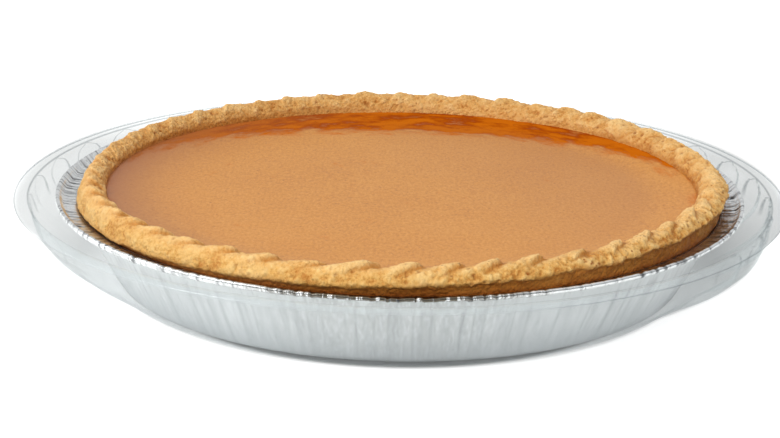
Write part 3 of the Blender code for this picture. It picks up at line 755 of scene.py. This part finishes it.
def foilMaterial(settings):
    # pressed aluminium foil: bright rolled metal, a little soft, creased, with painted shade down in its folds
    material, tree = newMaterial("pressedAluminiumFoil")
    place = addNode(tree, "ShaderNodeTexCoord").outputs["Object"]
    valley = addNode(tree, "ShaderNodeAttribute", {"attribute_name": "valley"}).outputs["Fac"]
    # drawn out along the height: creases run up the wall, every 4 mm or so along the ring
    drawn = addNode(tree, "ShaderNodeVectorMath", {"operation": "MULTIPLY"}, {0: place, 1: (1, 1, 0)}).outputs[0]
    drawn = addNode(tree, "ShaderNodeVectorMath", {"operation": "NORMALIZE"}, {0: drawn}).outputs[0]
    drawn = addNode(tree, "ShaderNodeVectorMath", {"operation": "MULTIPLY_ADD"},
                    {0: place, 1: (0, 0, 1.4), 2: drawn}).outputs[0]
    crease = addNode(tree, "ShaderNodeTexNoise", inputs={
        "Vector": drawn, "Scale": 36.0, "Detail": 3.0, "Roughness": 0.55}).outputs[0]
    tint = addNode(tree, "ShaderNodeValToRGB", {"stops": [
        (0.3, settings["dull"]), (0.65, settings["bright"])]}, {0: crease}).outputs[0]
    # the flange and the bead are a lighter foil than the wall
    flange = addNode(tree, "ShaderNodeAttribute", {"attribute_name": "pleat"}).outputs["Fac"]
    flangeShare = addNode(tree, "ShaderNodeMapRange", inputs={0: flange, 1: 0.22, 2: 0.5}).outputs[0]
    tint = addNode(tree, "ShaderNodeMix", {"data_type": "RGBA"}, {0: flangeShare, 6: tint, 7: srgb(settings["rim"])}).outputs[2]
    # painted shade down in the pleat valleys
    tint = addNode(tree, "ShaderNodeMix", {"data_type": "RGBA"}, {0: valley, 6: tint, 7: srgb(settings["foldShade"])}).outputs[2]
    # the creases come in bunches, with smooth foil between
    bunch = addNode(tree, "ShaderNodeTexNoise", inputs={
        "Vector": drawn, "Scale": 9.0, "Detail": 1.0}).outputs[0]
    bunch = addNode(tree, "ShaderNodeMapRange", inputs={0: bunch, 1: 0.53, 2: 0.62, 3: 0.03, 4: 0.34}).outputs[0]
    bump = addNode(tree, "ShaderNodeBump", inputs={
        "Strength": bunch, "Distance": 0.4 * mm, "Height": crease}).outputs[0]
    # painted shade: the foil is darker near the top of the wall
    height = addNode(tree, "ShaderNodeSeparateXYZ", inputs={0: place}).outputs["Z"]
    topShade = addNode(tree, "ShaderNodeMapRange", {"interpolation_type": "SMOOTHSTEP"}, {
        0: height, 1: 25.0 * mm, 2: 30.0 * mm, 3: 0.0, 4: 0.8}).outputs[0]
    below = addNode(tree, "ShaderNodeMath", {"operation": "LESS_THAN"}, {0: height, 1: 35.0 * mm}).outputs[0]
    topShade = addNode(tree, "ShaderNodeMath", {"operation": "MULTIPLY"}, {0: topShade, 1: below}).outputs[0]
    tint = addNode(tree, "ShaderNodeMix", {"data_type": "RGBA"}, {0: topShade, 6: tint, 7: srgb(settings["topShade"])}).outputs[2]
    # painted shade: darker toward the foot of the wall
    foot = addNode(tree, "ShaderNodeMapRange", {"interpolation_type": "SMOOTHSTEP"}, {
        0: height, 1: 3.0 * mm, 2: 20.0 * mm, 3: 0.58, 4: 0.0}).outputs[0]
    tint = addNode(tree, "ShaderNodeMix", {"data_type": "RGBA"}, {0: foot, 6: tint, 7: srgb(settings["low"])}).outputs[2]
    # crinkles across the flange and the bead, about 1.2 mm apart
    away = addNode(tree, "ShaderNodeVectorMath", {"operation": "LENGTH"}, {0: place}).outputs["Value"]
    reach = addNode(tree, "ShaderNodeCombineXYZ", inputs={2: away}).outputs[0]
    across = addNode(tree, "ShaderNodeVectorMath", {"operation": "MULTIPLY_ADD"},
                     {0: reach, 1: (0, 0, 1.5), 2: drawn}).outputs[0]
    crinkle = addNode(tree, "ShaderNodeTexNoise", inputs={
        "Vector": across, "Scale": 120.0, "Detail": 2.0, "Roughness": 0.6}).outputs[0]
    # painted shade: dark ticks in the crinkle valleys on the flange and the bead
    tick = addNode(tree, "ShaderNodeMapRange", inputs={0: crinkle, 1: 0.42, 2: 0.33, 3: 0.0, 4: 0.7}).outputs[0]
    tick = addNode(tree, "ShaderNodeMath", {"operation": "MULTIPLY"}, {0: tick, 1: flange}).outputs[0]
    tint = addNode(tree, "ShaderNodeMix", {"data_type": "RGBA"}, {0: tick, 6: tint, 7: srgb(settings["foldShade"])}).outputs[2]
    # painted shade: at the front the bead is painted dark slate, for the dark room it reflects there; the crinkle tops
    # keep the foil's own tint
    dull = addNode(tree, "ShaderNodeAttribute", {"attribute_name": "held"}).outputs["Fac"]
    glint = addNode(tree, "ShaderNodeMapRange", inputs={0: crinkle, 1: 0.54, 2: 0.59, 3: 1.0, 4: 0.0}).outputs[0]
    dull = addNode(tree, "ShaderNodeMath", {"operation": "MULTIPLY"}, {0: dull, 1: glint}).outputs[0]
    tint = addNode(tree, "ShaderNodeMix", {"data_type": "RGBA"}, {0: dull, 6: tint, 7: srgb(settings["slate"])}).outputs[2]
    crinkle = addNode(tree, "ShaderNodeMath", {"operation": "MULTIPLY"}, {0: crinkle, 1: flange}).outputs[0]
    bump = addNode(tree, "ShaderNodeBump", inputs={
        "Strength": 1.0, "Distance": 0.7 * mm, "Height": crinkle, "Normal": bump}).outputs[0]
    rough = addNode(tree, "ShaderNodeMapRange", inputs={0: flange, 1: 0.22, 2: 0.5, 3: 0.46, 4: 0.26}).outputs[0]
    shader = addNode(tree, "ShaderNodeBsdfPrincipled", inputs={
        "Base Color": tint, "Metallic": 1.0, "Roughness": rough, "Normal": bump})
    addNode(tree, "ShaderNodeOutputMaterial", inputs={0: shader.outputs[0]})
    return material


def pleatTree():
    # fine folds where flat foil was pressed into a round: ridges that cross the flange and the
    # bead, and long shallow creases that run down the wall
    tree, given = newTree("pleatedFlange", [
        ("Pleats", "Float"), ("Depth", "Float"), ("Crease", "Float"), ("Seed", "Float"), ("Foil", "Material")])
    angle = addNode(tree, "GeometryNodeInputNamedAttribute", {"data_type": "FLOAT"}, {0: "angle"}).outputs[0]
    pleat = addNode(tree, "GeometryNodeInputNamedAttribute", {"data_type": "FLOAT"}, {0: "pleat"}).outputs[0]
    place = addNode(tree, "GeometryNodeInputPosition").outputs[0]
    outward = addNode(tree, "ShaderNodeVectorMath", {"operation": "MULTIPLY"}, {0: place, 1: (1, 1, 0)}).outputs[0]
    outward = addNode(tree, "ShaderNodeVectorMath", {"operation": "NORMALIZE"}, {0: outward}).outputs[0]
    wander = addNode(tree, "ShaderNodeTexNoise", {"noise_dimensions": "4D"},
                     {"Vector": outward, "W": given["Seed"], "Scale": 9.0, "Detail": 3.0}).outputs[0]
    wander = addNode(tree, "ShaderNodeMath", {"operation": "MULTIPLY"}, {0: wander, 1: 8.0}).outputs[0]
    turns = addNode(tree, "ShaderNodeMath", {"operation": "DIVIDE"}, {0: angle, 1: math.tau}).outputs[0]
    turns = addNode(tree, "ShaderNodeMath", {"operation": "MULTIPLY_ADD"},
                    {0: turns, 1: given["Pleats"], 2: wander}).outputs[0]
    part = addNode(tree, "ShaderNodeMath", {"operation": "FRACT"}, {0: turns}).outputs[0]
    # broad rounded ridges with narrow valleys between
    ridge = addNode(tree, "ShaderNodeFloatCurve", {"curve": [
        (0.0, 0.0), (0.10, 0.50), (0.30, 0.92), (0.55, 1.0), (0.80, 0.85), (0.93, 0.45), (1.0, 0.0)]},
        {1: part}).outputs[0]
    size = addNode(tree, "ShaderNodeTexNoise", {"noise_dimensions": "4D"},
                   {"Vector": outward, "W": given["Seed"], "Scale": 24.0, "Detail": 2.0}).outputs[0]
    size = addNode(tree, "ShaderNodeMapRange", inputs={0: size, 1: 0.35, 2: 0.62, 3: 0.2, 4: 1.5}).outputs[0]
    deep = addNode(tree, "ShaderNodeMath", {"operation": "SUBTRACT"}, {0: ridge, 1: 0.8}).outputs[0]
    deep = addNode(tree, "ShaderNodeMath", {"operation": "MULTIPLY"}, {0: deep, 1: size}).outputs[0]
    deep = addNode(tree, "ShaderNodeMath", {"operation": "MULTIPLY"}, {0: deep, 1: pleat}).outputs[0]
    deep = addNode(tree, "ShaderNodeMath", {"operation": "MULTIPLY"}, {0: deep, 1: given["Depth"]}).outputs[0]
    lift = addNode(tree, "ShaderNodeCombineXYZ", inputs={2: deep}).outputs[0]
    # how far down a pleat valley: the mask for the painted fold shade
    valley = addNode(tree, "ShaderNodeMapRange", inputs={0: ridge, 1: 0.85, 2: 0.25}).outputs[0]
    valley = addNode(tree, "ShaderNodeMath", {"operation": "MULTIPLY"}, {0: valley, 1: size}).outputs[0]
    valley = addNode(tree, "ShaderNodeMath", {"operation": "MULTIPLY", "use_clamp": True}, {0: valley, 1: pleat}).outputs[0]

    # wall creases: noise that changes along the ring and hardly with the height
    line = addNode(tree, "ShaderNodeVectorMath", {"operation": "SCALE"}, {0: outward, "Scale": 16.0}).outputs[0]
    slope = addNode(tree, "ShaderNodeVectorMath", {"operation": "MULTIPLY"}, {0: place, 1: (0, 0, 30.0)}).outputs[0]
    line = addNode(tree, "ShaderNodeVectorMath", {"operation": "ADD"}, {0: line, 1: slope}).outputs[0]
    buckle = addNode(tree, "ShaderNodeTexNoise", {"noise_dimensions": "4D"},
                     {"Vector": line, "W": given["Seed"], "Scale": 1.0, "Detail": 3.0, "Roughness": 0.6}).outputs[0]
    buckle = addNode(tree, "ShaderNodeMath", {"operation": "SUBTRACT"}, {0: buckle, 1: 0.5}).outputs[0]
    bunch = addNode(tree, "ShaderNodeTexNoise", {"noise_dimensions": "4D"},
                    {"Vector": outward, "W": given["Seed"], "Scale": 9.0, "Detail": 1.0}).outputs[0]
    bunch = addNode(tree, "ShaderNodeMapRange", inputs={0: bunch, 1: 0.48, 2: 0.60, 3: 0.25, 4: 1.0}).outputs[0]
    buckle = addNode(tree, "ShaderNodeMath", {"operation": "MULTIPLY"}, {0: buckle, 1: bunch}).outputs[0]
    height = addNode(tree, "ShaderNodeSeparateXYZ", inputs={0: place}).outputs["Z"]
    wall = addNode(tree, "ShaderNodeMapRange", inputs={0: height, 1: 0.004, 2: 0.010}).outputs[0]
    buckle = addNode(tree, "ShaderNodeMath", {"operation": "MULTIPLY"}, {0: buckle, 1: wall}).outputs[0]
    buckle = addNode(tree, "ShaderNodeMath", {"operation": "MULTIPLY"}, {0: buckle, 1: given["Crease"]}).outputs[0]
    push = addNode(tree, "ShaderNodeVectorMath", {"operation": "SCALE"}, {0: outward, "Scale": buckle}).outputs[0]
    step = addNode(tree, "ShaderNodeVectorMath", {"operation": "ADD"}, {0: lift, 1: push}).outputs[0]
    shaped = addNode(tree, "GeometryNodeStoreNamedAttribute", {"data_type": "FLOAT", "domain": "POINT"},
                     {0: given["Geometry"], "Name": "valley", "Value": valley}).outputs[0]
    shaped = addNode(tree, "GeometryNodeSetPosition", inputs={0: shaped, "Offset": step}).outputs[0]
    shaped = addNode(tree, "GeometryNodeRealizeInstances", inputs={0: shaped}).outputs[0]
    shaped = addNode(tree, "GeometryNodeSetMaterial", inputs={0: shaped, "Material": given["Foil"]}).outputs[0]
    addNode(tree, "NodeGroupOutput", inputs={0: shaped})
    return tree


def makePan(settings):
    rows = softLine(settings["line"], settings["spacing"])
    rows[0, 0] = rows[-1, 0] = 0
    rows[:, :2] *= mm
    mesh = turnedMesh("foilPan", rows[::-1], settings["steps"], ("pleat",))
    # the middle of the front: there the bead keeps its crinkles and is painted with dark shade
    near = 1 - np.abs(readValues(mesh, "angle") - math.radians(-91)) / math.radians(26)
    held = np.clip(1.6 * near, 0, 1) * readValues(mesh, "pleat")
    # the bead is smooth at the left and crinkled at the right
    angle = readValues(mesh, "angle")
    bead = np.clip((np.hypot(*readPoints(mesh).T[:2]) / mm - 148.5) / 1.2, 0, 1)
    pleat = readValues(mesh, "pleat")
    pleat = np.where(pleat > 0.5, np.maximum(0.5, pleat * (1 - bead * (0.45 - 0.45 * np.cos(angle)) * (1 - held))), pleat)
    right = np.clip(np.cos(angle), 0, 1)
    pleat *= np.where(pleat > 0.5, 1 + right * (0.6 - 1.05 * bead), 1)
    mesh.attributes["pleat"].data.foreach_set("value", pleat.astype(np.float32))
    # and thinnest at the front
    co = readPoints(mesh)
    fat = settings["fat"] * bead * np.clip(1.3 - 1.6 * near, 0, 1) * (0.7 - 0.3 * np.cos(angle))
    co[:, 2] += fat * (co[:, 2] - settings["beadMiddle"])
    movePoints(mesh, co)
    layer = mesh.attributes.new("held", "FLOAT", "POINT")
    layer.data.foreach_set("value", held.astype(np.float32))
    material = foilMaterial(settings)
    mesh = moved(mesh, "foilPan", pleatTree(), {
        "Pleats": settings["pleats"], "Depth": settings["depth"], "Crease": settings["crease"],
        "Seed": 3.0, "Foil": material})
    placePiece(mesh, "foilPan", material, "foil_tin")
    print("pan:", len(mesh.polygons), "faces")


# clear tray

tray = {
    "steps": 1224,
    "spacing": 2.2,
    # radius, height, bend (1 where the sheet is folded sharply), on the outside from the raised
    # floor to the rim
    "line": [(117, 1.2, 0), (119, 1.2, 0), (120.6, 0.7, 0), (121.6, 0.2, 0), (124.0, 0.1, 0),
             (126.4, 0.3, 0), (130.2, 2.6, 0), (137.4, 8.0, 0), (146.2, 14.2, 0), (154.4, 20.2, 0),
             (160.2, 26.2, 0), (162.6, 32.0, 0), (163.4, 36.0, 0), (163.8, 37.5, 0.1), (164.3, 38.1, 1),
             (165.0, 38.4, 0.1), (168.2, 38.5, 0), (169.1, 38.4, 0), (169.6, 38.1, 0.1), (169.9, 37.3, 1)],
    "wall": 0.45,
    "pockets": 34,
    "firstPocket": math.radians(166.8),
    "pocketWide": 0.76,       # of the pitch
    "pocketDepth": 3.2 * mm,
    "pocketLow": 8.0 * mm,
    "pocketTop": 37.6 * mm,
    "clear": "#fcfdfd",
    "edge": "#e2e4e5",
    "foldShade": "#d6d9da",
    "haze": "#e6e8ea",
    "gloss": "#f4f6f7",
}


def pocketTree():
    # moulded pockets: tall arches pressed outward round the wall
    tree, given = newTree("mouldedPockets", [
        ("Pockets", "Float"), ("First", "Float"), ("Wide", "Float"), ("Depth", "Float"),
        ("Low", "Float"), ("Top", "Float"), ("Plastic", "Material")])
    angle = addNode(tree, "GeometryNodeInputNamedAttribute", {"data_type": "FLOAT"}, {0: "angle"}).outputs[0]
    rise = addNode(tree, "GeometryNodeInputNamedAttribute", {"data_type": "FLOAT"}, {0: "rise"}).outputs[0]
    place = addNode(tree, "GeometryNodeInputPosition").outputs[0]
    turns = addNode(tree, "ShaderNodeMath", {"operation": "SUBTRACT"}, {0: angle, 1: given["First"]}).outputs[0]
    turns = addNode(tree, "ShaderNodeMath", {"operation": "DIVIDE"}, {0: turns, 1: math.tau}).outputs[0]
    turns = addNode(tree, "ShaderNodeMath", {"operation": "MULTIPLY_ADD"},
                    {0: turns, 1: given["Pockets"], 2: 0.5}).outputs[0]
    part = addNode(tree, "ShaderNodeMath", {"operation": "FRACT"}, {0: turns}).outputs[0]
    part = addNode(tree, "ShaderNodeMath", {"operation": "SUBTRACT"}, {0: part, 1: 0.5}).outputs[0]
    side = addNode(tree, "ShaderNodeMath", {"operation": "ABSOLUTE"}, {0: part}).outputs[0]
    side = addNode(tree, "ShaderNodeMath", {"operation": "MULTIPLY"}, {0: side, 1: 2.0}).outputs[0]
    # the arch: full width up to 8 mm below its top, then a quarter round
    head = addNode(tree, "ShaderNodeMath", {"operation": "SUBTRACT"}, {0: given["Top"], 1: rise}).outputs[0]
    head = addNode(tree, "ShaderNodeMapRange", inputs={0: head, 1: 0.0, 2: 0.008}).outputs[0]
    # crisp at the top, then ever softer sides
    soft = addNode(tree, "ShaderNodeMapRange", inputs={
        0: rise, 1: 0.033, 2: 0.022, 3: 0.10, 4: 0.38}).outputs[0]
    arch = addNode(tree, "ShaderNodeFloatCurve", {"curve": [
        (0.0, 0.0), (0.06, 0.42), (0.2, 0.68), (0.5, 0.92), (1.0, 1.0)]}, {1: head}).outputs[0]
    arch = addNode(tree, "ShaderNodeMath", {"operation": "MULTIPLY"}, {0: arch, 1: given["Wide"]}).outputs[0]
    inside = addNode(tree, "ShaderNodeMath", {"operation": "SUBTRACT"}, {0: arch, 1: side}).outputs[0]
    inside = addNode(tree, "ShaderNodeMath", {"operation": "DIVIDE"}, {0: inside, 1: soft}).outputs[0]
    outline = addNode(tree, "ShaderNodeMath", {"operation": "SUBTRACT"}, {0: inside, 1: 0.5}).outputs[0]
    inside = addNode(tree, "ShaderNodeMapRange", {"interpolation_type": "SMOOTHSTEP"},
                     {0: inside, 1: 0.0, 2: 1.0}).outputs[0]
    foot = addNode(tree, "ShaderNodeMath", {"operation": "SUBTRACT"}, {0: rise, 1: given["Low"]}).outputs[0]
    foot = addNode(tree, "ShaderNodeMapRange", {"interpolation_type": "SMOOTHSTEP"},
                   {0: foot, 1: 0.0, 2: 0.010}).outputs[0]
    shallow = addNode(tree, "ShaderNodeMapRange", {"interpolation_type": "SMOOTHSTEP"},
                      {0: rise, 1: 0.022, 2: 0.033, 3: 1.0, 4: 0.45}).outputs[0]
    deep = addNode(tree, "ShaderNodeMath", {"operation": "MULTIPLY"}, {0: inside, 1: foot}).outputs[0]
    deep = addNode(tree, "ShaderNodeMath", {"operation": "MULTIPLY"}, {0: deep, 1: shallow}).outputs[0]
    # and pressed deepest at the right
    right = addNode(tree, "ShaderNodeMath", {"operation": "COSINE"}, {0: angle}).outputs[0]
    right = addNode(tree, "ShaderNodeMapRange", {"interpolation_type": "SMOOTHSTEP"},
                    {0: right, 1: 0.68, 2: 0.90, 3: 0.15, 4: 1.0}).outputs[0]
    deep = addNode(tree, "ShaderNodeMath", {"operation": "MULTIPLY"}, {0: deep, 1: right}).outputs[0]
    deep = addNode(tree, "ShaderNodeMath", {"operation": "MULTIPLY"}, {0: deep, 1: given["Depth"]}).outputs[0]
    outward = addNode(tree, "ShaderNodeVectorMath", {"operation": "MULTIPLY"}, {0: place, 1: (1, 1, 0)}).outputs[0]
    outward = addNode(tree, "ShaderNodeVectorMath", {"operation": "NORMALIZE"}, {0: outward}).outputs[0]
    outward = addNode(tree, "ShaderNodeVectorMath", {"operation": "ADD"}, {0: outward, 1: (0, 0, -0.5)}).outputs[0]
    step = addNode(tree, "ShaderNodeVectorMath", {"operation": "SCALE"}, {0: outward, "Scale": deep}).outputs[0]
    shaped = addNode(tree, "GeometryNodeStoreNamedAttribute", {"data_type": "FLOAT", "domain": "POINT"},
                     {0: given["Geometry"], "Name": "outline", "Value": outline}).outputs[0]
    shaped = addNode(tree, "GeometryNodeSetPosition", inputs={0: shaped, "Offset": step}).outputs[0]
    shaped = addNode(tree, "GeometryNodeRealizeInstances", inputs={0: shaped}).outputs[0]
    shaped = addNode(tree, "GeometryNodeSetMaterial", inputs={0: shaped, "Material": given["Plastic"]}).outputs[0]
    addNode(tree, "NodeGroupOutput", inputs={0: shaped})
    return tree


def plasticMaterial(settings):
    # thermoformed clear PET: a thin glossy sheet, nearly colourless, seen by its reflections and
    # by painted shade: grey at its bends and where one looks along the sheet, in place of refraction
    material, tree = newMaterial("clearFormedPlastic")
    tilt = addNode(tree, "ShaderNodeLayerWeight", inputs={"Blend": 0.5}).outputs["Facing"]
    graze = addNode(tree, "ShaderNodeMath", {"operation": "POWER"}, {0: tilt, 1: 5.0}).outputs[0]
    # reflectance by Schlick's rule, the same from both sides of the sheet
    mirror = addNode(tree, "ShaderNodeMath", {"operation": "MULTIPLY_ADD"}, {0: graze, 1: 0.05, 2: 0.02}).outputs[0]
    # painted shade: grey where one looks along the sheet
    bend = addNode(tree, "ShaderNodeMath", {"operation": "POWER"}, {0: tilt, 1: 14.0}).outputs[0]
    tint = addNode(tree, "ShaderNodeMix", {"data_type": "RGBA"},
                   {0: bend, 6: srgb(settings["clear"]), 7: srgb(settings["edge"])}).outputs[2]
    # painted shade: thin grey lines where the sheet is folded, round the flange and up over each pocket
    line = addNode(tree, "ShaderNodeAttribute", {"attribute_name": "outline"}).outputs["Fac"]
    line = addNode(tree, "ShaderNodeMath", {"operation": "ABSOLUTE"}, {0: line}).outputs[0]
    line = addNode(tree, "ShaderNodeMapRange", inputs={0: line, 1: 0.35, 2: 0.1, 3: 0.0, 4: 0.9}).outputs[0]
    place = addNode(tree, "ShaderNodeTexCoord").outputs["Object"]
    axes = addNode(tree, "ShaderNodeSeparateXYZ", inputs={0: place}).outputs
    high = addNode(tree, "ShaderNodeMapRange", inputs={0: axes["Z"], 1: 26 * mm, 2: 31 * mm}).outputs[0]
    line = addNode(tree, "ShaderNodeMath", {"operation": "MULTIPLY"}, {0: line, 1: high}).outputs[0]
    foldShade = addNode(tree, "ShaderNodeAttribute", {"attribute_name": "bend"}).outputs["Fac"]
    foldShade = addNode(tree, "ShaderNodeMapRange", inputs={0: foldShade, 1: 0.35, 2: 1.0}).outputs[0]
    # the painted fold lines are fainter on the near side; the bend lines less so toward the right
    near = addNode(tree, "ShaderNodeMapRange", {"interpolation_type": "SMOOTHSTEP"},
                   {0: axes["Y"], 1: -0.13, 2: -0.02, 3: 0.03, 4: 1.0}).outputs[0]
    line = addNode(tree, "ShaderNodeMath", {"operation": "MULTIPLY"}, {0: line, 1: near}).outputs[0]
    least = addNode(tree, "ShaderNodeMapRange", {"interpolation_type": "SMOOTHSTEP"},
                    {0: axes["X"], 1: 0.02, 2: 0.11, 3: 0.06, 4: 0.8}).outputs[0]
    near = addNode(tree, "ShaderNodeMath", {"operation": "MAXIMUM"}, {0: near, 1: least}).outputs[0]
    foldShade = addNode(tree, "ShaderNodeMath", {"operation": "MULTIPLY"}, {0: foldShade, 1: near}).outputs[0]
    line = addNode(tree, "ShaderNodeMath", {"operation": "MAXIMUM"}, {0: line, 1: foldShade}).outputs[0]
    tint = addNode(tree, "ShaderNodeMix", {"data_type": "RGBA"}, {0: line, 6: tint, 7: srgb(settings["foldShade"])}).outputs[2]
    through = addNode(tree, "ShaderNodeBsdfTransparent", inputs={0: tint})
    # the drawn sheet is a little cloudy
    cloud = addNode(tree, "ShaderNodeBsdfDiffuse", inputs={0: srgb(settings["haze"])})
    through = addNode(tree, "ShaderNodeMixShader", inputs={0: 0.04, 1: through.outputs[0], 2: cloud.outputs[0]})
    gloss = addNode(tree, "ShaderNodeBsdfGlossy", inputs={0: srgb(settings["gloss"]), "Roughness": 0.07})
    mixed = addNode(tree, "ShaderNodeMixShader", inputs={0: mirror, 1: through.outputs[0], 2: gloss.outputs[0]})
    addNode(tree, "ShaderNodeOutputMaterial", inputs={0: mixed.outputs[0]})
    return material


def makeTray(settings):
    line = softLine(settings["line"], settings["spacing"])
    outside, bend = line[:, :2], line[:, 2]
    direction = np.gradient(outside, axis=0)
    direction /= np.linalg.norm(direction, axis=1)[:, None]
    inside = outside + settings["wall"] * np.column_stack([-direction[:, 1], direction[:, 0]])
    outside = np.vstack([(0, outside[0, 1]), outside]) * mm
    inside = np.vstack([(0, inside[0, 1]), inside]) * mm
    # only the wall has pockets: the floor counts as below them, the flange as above
    reach = outside[:, 0] / mm
    rise = np.where(reach < 128, 0, np.where(reach < 164, outside[:, 1], 50 * mm))
    bend = np.append(0, bend)
    rows = np.vstack([np.column_stack([inside, rise, bend]), np.column_stack([outside, rise, bend])[::-1]])
    mesh = turnedMesh("clearTray", rows[::-1], settings["steps"], ("rise", "bend"))
    material = plasticMaterial(settings)
    mesh = moved(mesh, "clearTray", pocketTree(), {
        "Pockets": float(settings["pockets"]), "First": settings["firstPocket"],
        "Wide": settings["pocketWide"], "Depth": settings["pocketDepth"],
        "Low": settings["pocketLow"], "Top": settings["pocketTop"], "Plastic": material})
    placePiece(mesh, "clearTray", material, "clear_tray")
    print("tray:", len(mesh.polygons), "faces")


makeCamera(cameraSet)
makeStudio(studio)
makeCrust(crust)
makeFilling(filling)
makePan(pan)
makeTray(tray)
